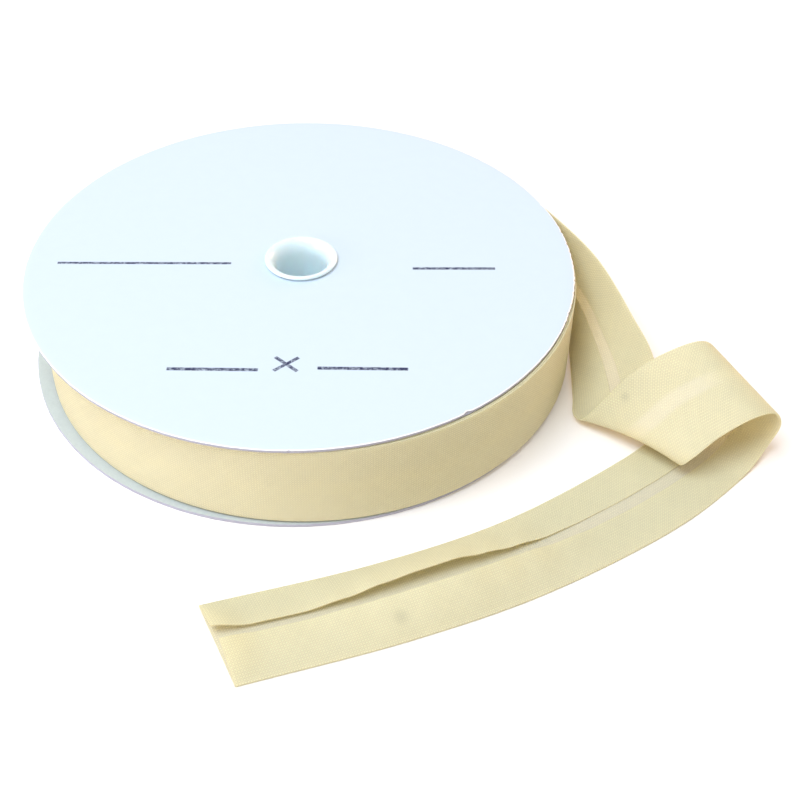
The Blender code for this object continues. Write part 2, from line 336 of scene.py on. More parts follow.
def stamped_over(tree, place, colour):
    """Ruled bars in patchy navy ink, as a rubber stamp leaves them."""
    ink = None
    for middle_x, middle_y, half_length, half_width, degrees in STAMPED_BARS:
        moved = add(tree, "ShaderNodeVectorMath", {0: place, 1: (middle_x, middle_y, 0.0)},
                    operation="SUBTRACT")
        turned = add(tree, "ShaderNodeVectorRotate", {
            "Vector": moved.outputs[0], "Angle": math.radians(-degrees)}, rotation_type="Z_AXIS")
        size = add(tree, "ShaderNodeVectorMath", {0: turned.outputs[0]}, operation="ABSOLUTE")
        axes = add(tree, "ShaderNodeSeparateXYZ", {0: size.outputs[0]})
        along = add(tree, "ShaderNodeMapRange", {
            "Value": axes.outputs["X"], "From Min": half_length + 0.1, "From Max": half_length - 0.1})
        aside = add(tree, "ShaderNodeMapRange", {
            "Value": axes.outputs["Y"], "From Min": half_width + 0.12, "From Max": half_width - 0.08})
        bar = add(tree, "ShaderNodeMath", {0: along.outputs[0], 1: aside.outputs[0]}, operation="MULTIPLY")
        if ink is None:
            ink = bar.outputs[0]
        else:
            ink = add(tree, "ShaderNodeMath", {0: ink, 1: bar.outputs[0]}, operation="MAXIMUM").outputs[0]
    patches = add(tree, "ShaderNodeTexNoise", {
        "Vector": place, "Scale": 1.1, "Detail": 5.0, "Roughness": 0.75})
    cover = add(tree, "ShaderNodeMapRange", {
        "Value": patches.outputs["Fac"], "From Min": 0.34, "From Max": 0.56, "To Min": 0.35, "To Max": 1.0})
    mask = add(tree, "ShaderNodeMath", {0: ink, 1: cover.outputs[0]}, operation="MULTIPLY")
    return add(tree, "ShaderNodeMix", {"Factor": mask.outputs[0], 6: colour, 7: linear("#262B52")},
               data_type="RGBA").outputs[2]


def grey_board():
    """Recycled grey board: a soft green-grey with mottled fibres, quite matt."""
    reel = bpy.context.scene.reel_sizes
    material, tree, shader = new_finish(
        "grey_board_inner_face", reel.board_colour, 0.85, Specular_IOR_Level=0.2)
    place = reel_millimetres(tree)
    mottle = add(tree, "ShaderNodeTexNoise", {
        "Vector": place, "Scale": 0.9, "Detail": 6.0, "Roughness": 0.7})
    fibre = add(tree, "ShaderNodeTexVoronoi", {"Vector": place, "Scale": 2.2})
    colour = tinted(tree, reel.board_colour, mottle.outputs["Fac"], 0.16)
    colour = tinted(tree, colour, fibre.outputs["Distance"], 0.05)
    surfaced(tree, shader, colour, mottle.outputs["Fac"], 0.5, 0.06 * MM)
    return material


def cut_board_edge():
    """Die-cut edge of the board: lilac grey, streaked where the blade burnished it."""
    colour = linear("#B3B2BE")
    material, tree, shader = new_finish("die_cut_board_edge", colour, 0.8, Specular_IOR_Level=0.2)
    place = reel_millimetres(tree)
    streak = add(tree, "ShaderNodeMapping", {"Vector": place, "Scale": (0.8, 0.8, 6.0)})
    fibre = add(tree, "ShaderNodeTexNoise", {"Vector": streak.outputs[0], "Scale": 1.0, "Detail": 6.0,
                                            "Roughness": 0.75})
    streaked = tinted(tree, colour, fibre.outputs["Fac"], 0.5)
    surfaced(tree, shader, streaked, fibre.outputs["Fac"], 0.8, 0.1 * MM)
    return material


def paper_rim_painted_highlight():
    """The facing paper where the die rolled it over the rim: smooth, and painted much whiter than the paper
    on the card's face, a painted highlight that shows as a bright fine line.
    """
    # Painted highlight: this white stands for the light that the rolled rim catches; the noise below darkens
    # it a little at random
    colour = linear("#FDFEFF")
    material, tree, shader = new_finish("paper_rim_with_painted_highlight", colour, 0.4, Specular_IOR_Level=0.6)
    place = reel_millimetres(tree)
    wear = add(tree, "ShaderNodeTexNoise", {"Vector": place, "Scale": 0.5, "Detail": 3.0})
    highlight_and_wear = tinted(tree, colour, wear.outputs["Fac"], 0.05, middle=1.0)
    tree.links.new(highlight_and_wear, shader.inputs["Base Color"])
    return material


def moulded_plastic():
    """Injection-moulded white plastic: smooth, softly glossy, a little cool in the bore."""
    reel = bpy.context.scene.reel_sizes
    material, tree, shader = new_finish(
        "white_moulded_polystyrene", reel.hub_colour, 0.22, IOR=1.5, Specular_IOR_Level=0.5,
        Subsurface_Weight=0.15, Subsurface_Scale=1.0 * MM)
    place = reel_millimetres(tree)
    flow = add(tree, "ShaderNodeTexNoise", {"Vector": place, "Scale": 0.5, "Detail": 2.0})
    colour = tinted(tree, reel.hub_colour, flow.outputs["Fac"], 0.02)
    surfaced(tree, shader, colour, flow.outputs["Fac"], 0.1, 0.05 * MM)
    return material


def plain_weave():
    """Yarns crossing over and under, from flat cloth millimetres: their height, a shade for each yarn, and
    which of the two sets lies on top, since each set catches the light its own way."""
    tree = bpy.data.node_groups.new("plain_weave_on_the_bias", "ShaderNodeTree")
    tree.interface.new_socket("Flat Cloth", in_out="INPUT", socket_type="NodeSocketVector")
    tree.interface.new_socket("Yarn Pitch", in_out="INPUT", socket_type="NodeSocketFloat")
    tree.interface.new_socket("Height", in_out="OUTPUT", socket_type="NodeSocketFloat")
    tree.interface.new_socket("Yarn Shade", in_out="OUTPUT", socket_type="NodeSocketFloat")
    tree.interface.new_socket("Crossing", in_out="OUTPUT", socket_type="NodeSocketFloat")
    given = add(tree, "NodeGroupInput").outputs
    per_pitch = add(tree, "ShaderNodeMath", {0: 1.0, 1: given["Yarn Pitch"]}, operation="DIVIDE")
    turned = add(tree, "ShaderNodeVectorRotate", {"Vector": given["Flat Cloth"], "Angle": math.radians(45)},
                 rotation_type="Z_AXIS")
    scaled = add(tree, "ShaderNodeVectorMath", {0: turned.outputs[0], "Scale": per_pitch.outputs[0]},
                 operation="SCALE").outputs[0]
    cell = add(tree, "ShaderNodeVectorMath", {0: scaled}, operation="FLOOR").outputs[0]
    inside = add(tree, "ShaderNodeVectorMath", {0: scaled, 1: cell}, operation="SUBTRACT").outputs[0]
    number = add(tree, "ShaderNodeSeparateXYZ", {0: cell}).outputs
    within = add(tree, "ShaderNodeSeparateXYZ", {0: inside}).outputs
    arches = []
    for axis in ("X", "Y"):
        turn = add(tree, "ShaderNodeMath", {0: within[axis], 1: math.pi}, operation="MULTIPLY").outputs[0]
        arches.append(add(tree, "ShaderNodeMath", {0: turn}, operation="SINE").outputs[0])
    heights = []
    for across, along in ((arches[1], arches[0]), (arches[0], arches[1])):
        swell = add(tree, "ShaderNodeMath", {0: along, 1: 0.5, 2: 0.5}, operation="MULTIPLY_ADD").outputs[0]
        heights.append(add(tree, "ShaderNodeMath", {0: across, 1: swell}, operation="MULTIPLY").outputs[0])
    both = add(tree, "ShaderNodeMath", {0: number["X"], 1: number["Y"]}, operation="ADD").outputs[0]
    over = add(tree, "ShaderNodeMath", {0: both, 1: 2.0}, operation="FLOORED_MODULO").outputs[0]
    height = add(tree, "ShaderNodeMix", {"Factor": over, 2: heights[0], 3: heights[1]}).outputs[0]
    shades = []
    for axis, seed in (("Y", 0.0), ("X", 911.0)):
        name = add(tree, "ShaderNodeMath", {0: number[axis], 1: seed}, operation="ADD").outputs[0]
        shades.append(add(tree, "ShaderNodeTexWhiteNoise", {"W": name},
                          noise_dimensions="1D").outputs["Value"])
    shade = add(tree, "ShaderNodeMix", {"Factor": over, 2: shades[0], 3: shades[1]}).outputs[0]
    arch = add(tree, "ShaderNodeMath", {0: arches[0], 1: arches[1]}, operation="MULTIPLY").outputs[0]
    side = add(tree, "ShaderNodeMath", {0: over, 1: 0.5}, operation="SUBTRACT").outputs[0]
    crossing = add(tree, "ShaderNodeMath", {0: side, 1: arch, 2: 0.5}, operation="MULTIPLY_ADD").outputs[0]
    add(tree, "NodeGroupOutput", {"Height": height, "Yarn Shade": shade, "Crossing": crossing})
    return tree


def spotted(tree, colour):
    """Soft grey spots on the cloth, each round a place on the object."""
    place = reel_millimetres(tree)
    for x, y, z, radius in CLOTH_SPOTS:
        away = add(tree, "ShaderNodeVectorMath", {0: place, 1: (x, y, z)}, operation="DISTANCE")
        mask = add(tree, "ShaderNodeMapRange", {
            "Value": away.outputs["Value"], "From Min": radius, "From Max": 0.1 * radius, "To Max": 0.16},
            interpolation_type="SMOOTHSTEP")
        colour = add(tree, "ShaderNodeMix", {"Factor": mask.outputs[0], 6: colour, 7: linear("#A9A88A")},
                     data_type="RGBA").outputs[2]
    return colour


def bias_cloth(name, colour, weave, painted_gap_sheen):
    """Polyester and cotton plain weave, piece dyed and pressed: a matt cream whose crossing yarns make fine
    diamonds, as bumps and as painted light and shade, with a painted sheen along the gap between the flaps
    when one is given, and some light passing through a single layer, tinted warm so that the shade looks
    amber."""
    tape = bpy.context.scene.tape_sizes
    material, tree, shader = new_finish(name, colour, 0.8, Specular_IOR_Level=0.25, Sheen_Weight=0.25,
                                        Sheen_Roughness=0.5, Sheen_Tint=linear("#FFF8E6"))
    cloth_map = add(tree, "ShaderNodeUVMap", uv_map="flat_cloth")
    flat = add(tree, "ShaderNodeVectorMath", {0: cloth_map.outputs[0], "Scale": 1 / MM},
               operation="SCALE").outputs[0]
    woven = add(tree, "ShaderNodeGroup", node_tree=weave)
    tree.links.new(flat, woven.inputs["Flat Cloth"])
    woven.inputs["Yarn Pitch"].default_value = tape.yarn_pitch / MM
    cloud = add(tree, "ShaderNodeTexNoise", {"Vector": flat, "Scale": 0.12, "Detail": 3.0})
    # Painted shade between the yarns: darker where they dip under each other, lighter on their crowns
    shown = tinted(tree, colour, woven.outputs["Height"], 0.2, middle=0.6)
    # Painted light and shade by which set of yarns lies on top
    shown = tinted(tree, shown, woven.outputs["Crossing"], 0.12)
    shown = tinted(tree, shown, woven.outputs["Yarn Shade"], 0.03)
    shown = tinted(tree, shown, cloud.outputs["Fac"], 0.05)
    # Painted sheen: a paler colour along the gap between the flaps, only on the stretch of rows that carry
    # it
    if painted_gap_sheen:
        off_gap = add(tree, "ShaderNodeAttribute", attribute_name="off_gap").outputs["Fac"]
        sheen_band = add(tree, "ShaderNodeMapRange", {
            "Value": off_gap, "From Min": 2.0 * MM, "From Max": 0.9 * MM, "To Max": painted_gap_sheen},
            interpolation_type="SMOOTHSTEP")
        single = add(tree, "ShaderNodeAttribute", attribute_name="painted_sheen_rows").outputs["Fac"]
        mask = add(tree, "ShaderNodeMath", {0: sheen_band.outputs[0], 1: single}, operation="MULTIPLY")
        shown = add(tree, "ShaderNodeMix", {"Factor": mask.outputs[0], 6: shown, 7: linear("#FFFDF2")},
                    data_type="RGBA").outputs[2]
    shown = spotted(tree, shown)
    normal = surfaced(tree, shader, shown, woven.outputs["Height"], 0.6, 0.06 * MM)
    # Painted shade colour: the light passing through the cloth is tinted warm, so that the shade looks amber
    amber_shade_tint = add(tree, "ShaderNodeMix", {"Factor": 1.0, 6: shown, 7: linear("#FFF9EE")}, data_type="RGBA",
              blend_type="MULTIPLY").outputs[2]
    through = add(tree, "ShaderNodeBsdfTranslucent", {"Color": amber_shade_tint, "Normal": normal})
    both = add(tree, "ShaderNodeMixShader", {"Fac": 0.45, 1: shader.outputs[0], 2: through.outputs[0]})
    tree.links.new(both.outputs[0], tree.nodes["Material Output"].inputs["Surface"])
    return material


def finished_piece(mesh, node, materials=()):
    """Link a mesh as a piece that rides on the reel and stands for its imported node."""
    piece = bpy.data.objects.new(mesh.name, mesh)
    bpy.context.scene.collection.objects.link(piece)
    for material in materials:
        mesh.materials.append(material)
    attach(piece, "root")
    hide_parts(node)
    return piece


def turned_mesh(name, profile, steps, stray=None):
    """Turn a closed profile of (radius, height, finish of the strip that follows) round the reel's axis.
    stray gives how far a ring moves outwards, from its radius, height and angle."""
    model = bmesh.new()
    rings = []
    for radius, height, finish in profile:
        ring = []
        for step in range(steps):
            angle = math.tau * step / steps
            reach = radius + (stray(radius, height, angle) if stray else 0.0)
            ring.append(model.verts.new((REEL_AXIS.x + reach * math.cos(angle),
                                         REEL_AXIS.y + reach * math.sin(angle), height)))
        rings.append(ring)
    for index, (radius, height, finish) in enumerate(profile):
        ring = rings[index]
        following = rings[(index + 1) % len(rings)]
        for step in range(steps):
            beside = (step + 1) % steps
            face = model.faces.new((ring[step], following[step], following[beside], ring[beside]))
            face.material_index = finish
            face.smooth = True
    bmesh.ops.recalc_face_normals(model, faces=model.faces)
    mesh = bpy.data.meshes.new(name)
    model.to_mesh(mesh)
    model.free()
    mesh.set_sharp_from_angle(angle=math.radians(50))
    return mesh


def ragged_rim(radius, height, angle):
    """A die-cut rim: it wanders a little, and more so on the right where the blade tore it."""
    reel = bpy.context.scene.reel_sizes
    if radius < reel.card_radius - 0.6 * MM:
        return 0.0
    wander = 0.0
    for waves, share, start in ((3, 0.5, 0.4), (17, 0.3, 2.0), (61, 0.25, 5.1), (143, 0.2, 1.3)):
        wander += share * math.sin(waves * angle + start + height / MM * 0.7)
    torn = max(0.0, math.cos(angle + 0.05)) ** 10
    wander += 1.8 * torn * math.sin(211 * angle) * math.sin(37 * angle + 1.0)
    nicked = 0.0
    if height > UPPER_CARD_LOW.z:
        for degrees, half_width, depth in RIM_NICKS:
            away = abs(math.remainder(math.degrees(angle) - degrees, 360.0)) / half_width
            nicked += depth * MM * max(0.0, 1.0 - away)
    return reel.rim_raggedness * wander - nicked


def card_profile(low, high, hole_radius, paper_up):
    """Outline of a card: facing paper rolled over the rim on one side, bare board on the other."""
    reel = bpy.context.scene.reel_sizes
    radius = reel.card_radius
    paper = reel.paper_thickness
    outside = [
        (hole_radius, 0.0, PAPER),
        (radius - 1.5 * MM, 0.0, PAPER),
        (radius - 0.24 * MM, 0.01 * MM, RIM),
        (radius - 0.08 * MM, 0.05 * MM, RIM),
        (radius, paper, EDGE),
        (radius - 0.02 * MM, 0.35 * (high - low), EDGE),
        (radius, 0.7 * (high - low), EDGE),
        (radius - 0.08 * MM, high - low, BOARD),
        (radius - 1.5 * MM, high - low, BOARD),
        (hole_radius, high - low, BOARD),
    ]
    profile = []
    for reach, depth, finish in outside:
        profile.append((reach, high - depth if paper_up else low + depth, finish))
    return profile


class REEL_OT_add_cards(bpy.types.Operator):
    """Add the two die-cut card discs."""
    bl_idname = "reel.add_cards"
    bl_label = "Add cards"

    def execute(self, context):
        finishes = (white_paper(), grey_board(), cut_board_edge(), paper_rim_painted_highlight())
        upper = card_profile(UPPER_CARD_LOW.z, UPPER_CARD_HIGH.z, CARD_HOLE_RADIUS, paper_up=True)
        lower_hole = CARD_HOLE_RADIUS + 0.3 * MM
        lower = card_profile(LOWER_CARD_LOW.z, LOWER_CARD_HIGH.z, lower_hole, paper_up=False)
        lower[0] = (LIP_RADIUS + 0.6 * MM, lower[0][1], PAPER)
        cards = (("upper_card", upper, "flange_top"), ("lower_card", lower, "flange_bottom"))
        for name, profile, node in cards:
            finished_piece(turned_mesh(name, profile, RIM_STEPS, ragged_rim), node, finishes)
        return {"FINISHED"}


def hub_profile():
    """Tube with a trumpet mouth, a thin rounded lip over the card and a flush flare below."""
    reel = bpy.context.scene.reel_sizes
    top = HUB_HIGH.z
    bore = reel.bore_radius
    lip = 0.35 * MM
    mouth_width = LIP_RADIUS - lip - bore
    profile = [(bore, top - reel.mouth_depth, 0)]
    for degrees in range(10, 91, 10):
        turn = math.radians(degrees)
        profile.append((bore + mouth_width * (1 - math.cos(turn)),
                        top - reel.mouth_depth * (1 - math.sin(turn)), 0))
    for degrees in range(70, -91, -20):
        turn = math.radians(degrees)
        profile.append((LIP_RADIUS - lip + lip * math.cos(turn), top - lip + lip * math.sin(turn), 0))
    tube = bore + 0.9 * MM
    profile += [
        (tube + 0.4 * MM, top - 2 * lip, 0),
        (tube, top - 2 * lip - 0.3 * MM, 0),
        (tube, LOWER_CARD_HIGH.z + 0.2 * MM, 0),
        (LIP_RADIUS - 0.1 * MM, 0.1 * MM, 0),
        (LIP_RADIUS - 0.2 * MM, 0.0, 0),
        (bore + 1.0 * MM, 0.0, 0),
        (bore + 0.3 * MM, 1.2 * MM, 0),
        (bore, reel.mouth_depth, 0),
    ]
    return profile


class REEL_OT_add_hub(bpy.types.Operator):
    """Add the moulded hub tube with its rolled lip."""
    bl_idname = "reel.add_hub"
    bl_label = "Add hub"

    def execute(self, context):
        tube = turned_mesh("hub_tube", hub_profile(), HUB_STEPS)
        finished_piece(tube, "hub", (moulded_plastic(),))
        return {"FINISHED"}


def winding_radius(angle):
    """Radius of the ground layer's middle, at an angle in degrees wound back from where the tape leaves."""
    pitch = bpy.context.scene.tape_sizes.turn_pitch
    return LEAVING_RADIUS - pitch * (angle - LEAVING_ANGLE) / 360


def on_winding(angle, height):
    """A point where the tape lies on the roll."""
    radius = winding_radius(angle)
    centre = REEL_AXIS + WINDING_CENTRE * (radius / LEAVING_RADIUS) ** 2
    turn = math.radians(angle)
    return Vector((centre.x + radius * math.cos(turn), centre.y + radius * math.sin(turn), height))


def wound_turns_tree():
    """A spiral of folded tape wound from the hub outwards, its turns slightly out of line."""
    tree = bpy.data.node_groups.new("wound_turns", "GeometryNodeTree")
    sockets = tree.interface
    sockets.new_socket("Geometry", in_out="INPUT", socket_type="NodeSocketGeometry")
    for name in ("Turns", "Inner Radius", "Outer Radius", "Tape Width", "Folded Thickness", "Base Height",
                 "Outer End Angle", "Unevenness"):
        sockets.new_socket(name, in_out="INPUT", socket_type="NodeSocketFloat")
    sockets.new_socket("Steps", in_out="INPUT", socket_type="NodeSocketInt")
    sockets.new_socket("Reel Axis", in_out="INPUT", socket_type="NodeSocketVector")
    sockets.new_socket("Outer Centre", in_out="INPUT", socket_type="NodeSocketVector")
    sockets.new_socket("Finish", in_out="INPUT", socket_type="NodeSocketMaterial")
    sockets.new_socket("Geometry", in_out="OUTPUT", socket_type="NodeSocketGeometry")
    given = add(tree, "NodeGroupInput").outputs
    spiral = add(tree, "GeometryNodeCurveSpiral", {
        "Resolution": given["Steps"], "Rotations": given["Turns"], "Start Radius": given["Inner Radius"],
        "End Radius": given["Outer Radius"], "Height": 0.0, "Reverse": True})
    start = add(tree, "ShaderNodeMath", {0: given["Turns"], 1: math.tau, 2: given["Outer End Angle"]},
                operation="MULTIPLY_ADD").outputs[0]
    spin = add(tree, "ShaderNodeCombineXYZ", {"Z": start}).outputs[0]
    turned = add(tree, "GeometryNodeTransform", {"Geometry": spiral.outputs[0], "Rotation": spin}).outputs[0]
    place = add(tree, "GeometryNodeInputPosition").outputs[0]
    reach = add(tree, "ShaderNodeVectorMath", {0: place}, operation="LENGTH").outputs["Value"]
    share = add(tree, "ShaderNodeMath", {0: reach, 1: given["Outer Radius"]}, operation="DIVIDE").outputs[0]
    squared = add(tree, "ShaderNodeMath", {0: share, 1: 2.0}, operation="POWER").outputs[0]
    shift = add(tree, "ShaderNodeVectorMath", {0: given["Outer Centre"], "Scale": squared},
                operation="SCALE")
    middle = add(tree, "ShaderNodeMath", {0: given["Tape Width"], 1: 0.5, 2: given["Base Height"]},
                 operation="MULTIPLY_ADD").outputs[0]
    along = add(tree, "GeometryNodeSplineParameter").outputs["Factor"]
    wound = add(tree, "ShaderNodeMath", {0: along, 1: given["Turns"]}, operation="MULTIPLY").outputs[0]
    rise = add(tree, "ShaderNodeTexNoise", {"W": wound, "Scale": 1.3, "Detail": 2.0}, noise_dimensions="1D")
    centred = add(tree, "ShaderNodeMath", {0: rise.outputs[0], 1: 0.5}, operation="SUBTRACT").outputs[0]
    uneven = add(tree, "ShaderNodeMath", {0: centred, 1: given["Unevenness"], 2: middle},
                 operation="MULTIPLY_ADD").outputs[0]
    lift = add(tree, "ShaderNodeCombineXYZ", {"Z": uneven}).outputs[0]
    offset = add(tree, "ShaderNodeVectorMath", {0: shift.outputs[0], 1: lift}, operation="ADD").outputs[0]
    offset = add(tree, "ShaderNodeVectorMath", {0: offset, 1: given["Reel Axis"]},
                 operation="ADD").outputs[0]
    placed = add(tree, "GeometryNodeSetPosition", {"Geometry": turned, "Offset": offset}).outputs[0]
    upright = add(tree, "GeometryNodeSetCurveNormal", {"Curve": placed}, mode="Z_UP").outputs[0]
    section = add(tree, "GeometryNodeCurvePrimitiveQuadrilateral", {
        "Width": given["Folded Thickness"], "Height": given["Tape Width"]}).outputs[0]
    rounding = add(tree, "ShaderNodeMath", {0: given["Folded Thickness"], 1: 0.3},
                   operation="MULTIPLY").outputs[0]
    rounded = add(tree, "GeometryNodeFilletCurve", {
        "Curve": section, "Radius": rounding, "Limit Radius": True})
    tape = add(tree, "GeometryNodeCurveToMesh", {
        "Curve": upright, "Profile Curve": rounded.outputs[0], "Fill Caps": True}).outputs[0]
    whole = add(tree, "GeometryNodeRealizeInstances", {0: tape}).outputs[0]
    painted = add(tree, "GeometryNodeSetMaterial", {
        "Geometry": whole, "Material": given["Finish"]}).outputs[0]
    add(tree, "NodeGroupOutput", {0: painted})
    return tree


def made_by_nodes(name, tree, values):
    """Run a node tree on an empty mesh, with its named inputs set, and return the result as a plain mesh."""
    holder = bpy.data.objects.new(name, bpy.data.meshes.new(name + "_empty"))
    bpy.context.scene.collection.objects.link(holder)
    modifier = holder.modifiers.new("Nodes", "NODES")
    modifier.node_group = tree
    for item in tree.interface.items_tree:
        if item.in_out == "INPUT" and item.name in values:
            modifier[item.identifier] = values[item.name]
    evaluated = holder.evaluated_get(bpy.context.evaluated_depsgraph_get())
    mesh = bpy.data.meshes.new_from_object(evaluated)
    mesh.name = name
    bpy.data.objects.remove(holder)
    return mesh


def tape_edge_cloth():
    """The same cream cloth where the turns lie edge to edge: pressed folds, darker between them."""
    tape = bpy.context.scene.tape_sizes
    material, tree, shader = new_finish("wound_tape_folds", tape.cloth_colour, 0.85, Specular_IOR_Level=0.2,
                                        Sheen_Weight=0.25, Sheen_Roughness=0.5)
    place = reel_millimetres(tree)
    slub = add(tree, "ShaderNodeTexNoise", {
        "Vector": place, "Scale": 1.8, "Detail": 4.0, "Roughness": 0.65})
    colour = tinted(tree, tape.cloth_colour, slub.outputs["Fac"], 0.2)
    surfaced(tree, shader, colour, slub.outputs["Fac"], 0.5, 0.08 * MM)
    return material


class REEL_OT_wind_tape(bpy.types.Operator):
    """Wind the folded tape round the hub, turn by turn."""
    bl_idname = "reel.wind_tape"
    bl_label = "Wind tape"

    def execute(self, context):
        tape = context.scene.tape_sizes
        folded = 2 * tape.fold_radius + tape.cloth_thickness
        outer = winding_radius(HIDDEN_ANGLE) - tape.fold_radius
        turns = (outer - FIRST_TURN_RADIUS) / tape.turn_pitch
        mesh = made_by_nodes("wound_tape", wound_turns_tree(), {
            "Turns": turns,
            "Inner Radius": FIRST_TURN_RADIUS,
            "Outer Radius": outer,
            "Tape Width": TAPE_WIDTH - 0.1 * MM,
            "Folded Thickness": folded - 0.02 * MM,
            "Base Height": TAPE_LOW.z + 0.05 * MM,
            "Outer End Angle": math.radians(HIDDEN_ANGLE),
            "Unevenness": 0.35 * MM,
            "Steps": tape.turn_steps,
            "Reel Axis": (*REEL_AXIS, 0.0),
            "Outer Centre": (*WINDING_CENTRE, 0.0),
            "Finish": tape_edge_cloth(),
        })
        mesh.shade_smooth()
        finished_piece(mesh, "tape_roll")
        return {"FINISHED"}


def tape_places():
    """Both creased edges of the tape and its bow, from under its own last turn to the cut end."""
    places = []
    angle = HIDDEN_ANGLE
    while angle > LAST_HUGGING_ANGLE:
        lower = on_winding(angle, TAPE_LOW.z + FOOT_GAP)
        places.append((lower, on_winding(angle, TAPE_HIGH.z), Vector((0, 0, 0))))
        angle -= HUGGING_STEP
    axis = Vector((*REEL_AXIS, 0.0))
    for row in LOOSE_END:
        lower = axis + Vector(row[1:4]) * MM
        upper = axis + Vector(row[4:7]) * MM
        places.append((lower, upper, Vector((0, 0, row[7] * MM))))
    return places


def knots_of(places):
    """A running parameter for the places: the root of the distance between them."""
    knots = [0.0]
    for before, after in zip(places, places[1:]):
        gap = sum((b - a).length for a, b in zip(before[:2], after[:2])) / 2
        knots.append(knots[-1] + math.sqrt(gap))
    return knots


def slopes_through(points, knots):
    """The smooth curve's slope at each point, from the stretches on both sides of it."""
    stretches = []
    for i in range(len(points) - 1):
        stretches.append((points[i + 1] - points[i]) / (knots[i + 1] - knots[i]))
    slopes = [stretches[0]]
    for i in range(1, len(points) - 1):
        before = knots[i] - knots[i - 1]
        after = knots[i + 1] - knots[i]
        slopes.append((stretches[i - 1] * after + stretches[i] * before) / (before + after))
    slopes.append(stretches[-1])
    return slopes


def curve_point(points, slopes, knots, i, t):
    """A point of the smooth curve in its stretch i, at t from 0 to 1."""
    span = knots[i + 1] - knots[i]
    return (points[i] * (2 * t ** 3 - 3 * t ** 2 + 1) + slopes[i] * span * (t ** 3 - 2 * t ** 2 + t)
            + points[i + 1] * (3 * t ** 2 - 2 * t ** 3) + slopes[i + 1] * span * (t ** 3 - t ** 2))


def smooth_rows(places, spacing):
    """Rows of both edges along smooth curves, evenly spaced, none lower than the cloth lies on the floor,
    and the row at which each place comes."""
    knots = knots_of(places)
    edges = []
    for column in range(3):
        points = [place[column] for place in places]
        edges.append((points, slopes_through(points, knots)))
    rows = []
    place_rows = []
    for i in range(len(places) - 1):
        place_rows.append(len(rows))
        gap = sum((b - a).length for a, b in zip(places[i][:2], places[i + 1][:2])) / 2
        steps = max(4, round(gap / spacing))
        for step in range(steps):
            rows.append([curve_point(points, slopes, knots, i, step / steps) for points, slopes in edges])
    place_rows.append(len(rows))
    rows.append([column.copy() for column in places[-1]])
    lowest = bpy.context.scene.tape_sizes.cloth_thickness / 2
    for lower, upper, bow in rows:
        lower.z = max(lower.z, lowest)
        upper.z = max(upper.z, lowest)
    return rows, place_rows


def flaps_at(distance):
    """Both flaps' lift in radians, the lower edge's first, and the uneven turning in metres, at a distance
    in metres from the cut end."""
    place = min(distance / MM, FLAPS[-1][0])
    for before, after in zip(FLAPS, FLAPS[1:]):
        if before[0] <= place <= after[0]:
            t = (place - before[0]) / (after[0] - before[0])
            t = t * t * (3 - 2 * t)
            lower, upper, uneven = [low + (high - low) * t for low, high in zip(before[1:], after[1:])]
            return math.radians(lower), math.radians(upper), uneven * MM


def sprung_flap(width, lift):
    """A turned-in flap from its fold to its raw edge: (reach, rise, distance from the fold), steeper
    near the fold and drooping a little towards the raw edge."""
    reach = 0.0
    rise = 0.0
    line = [(0.0, 0.0, 0.0)]
    for step in range(FLAP_STEPS):
        slope = lift * (1.25 - 0.5 * (step + 0.5) / FLAP_STEPS)
        reach += width / FLAP_STEPS * math.cos(slope)
        rise += width / FLAP_STEPS * math.sin(slope)
        line.append((reach, rise, width * (step + 1) / FLAP_STEPS))
    return line


def folded_section(lower_lift, upper_lift, uneven):
    """The cloth's middle line across the folded tape: (across, up, place on the flat strip) from flap
    edge to flap edge. Up is towards the folded side."""
    tape = bpy.context.scene.tape_sizes
    radius = tape.fold_radius
    ground_half = TAPE_WIDTH / 2 - radius
    arc = math.pi * radius
    lower_flap = tape.cut_width / 2 - ground_half - arc - uneven
    upper_flap = lower_flap + 2 * uneven
    line = []
    for reach, rise, distance in reversed(sprung_flap(lower_flap, lower_lift)):
        line.append((reach - ground_half, 2 * radius + rise, lower_flap - distance))
    for step in range(1, 4):
        turn = math.pi * step / 4
        line.append((-ground_half - radius * math.sin(turn), radius * (1 + math.cos(turn)),
                     lower_flap + arc * step / 4))
    for step in range(17):
        across = -ground_half + 2 * ground_half * step / 16
        line.append((across, 0.0, lower_flap + arc + across + ground_half))
    far = lower_flap + arc + 2 * ground_half
    for step in range(1, 4):
        turn = math.pi * step / 4
        line.append((ground_half + radius * math.sin(turn), radius * (1 - math.cos(turn)),
                     far + arc * step / 4))
    for reach, rise, distance in sprung_flap(upper_flap, upper_lift):
        line.append((ground_half - reach, 2 * radius + rise, far + arc + distance))
    return line


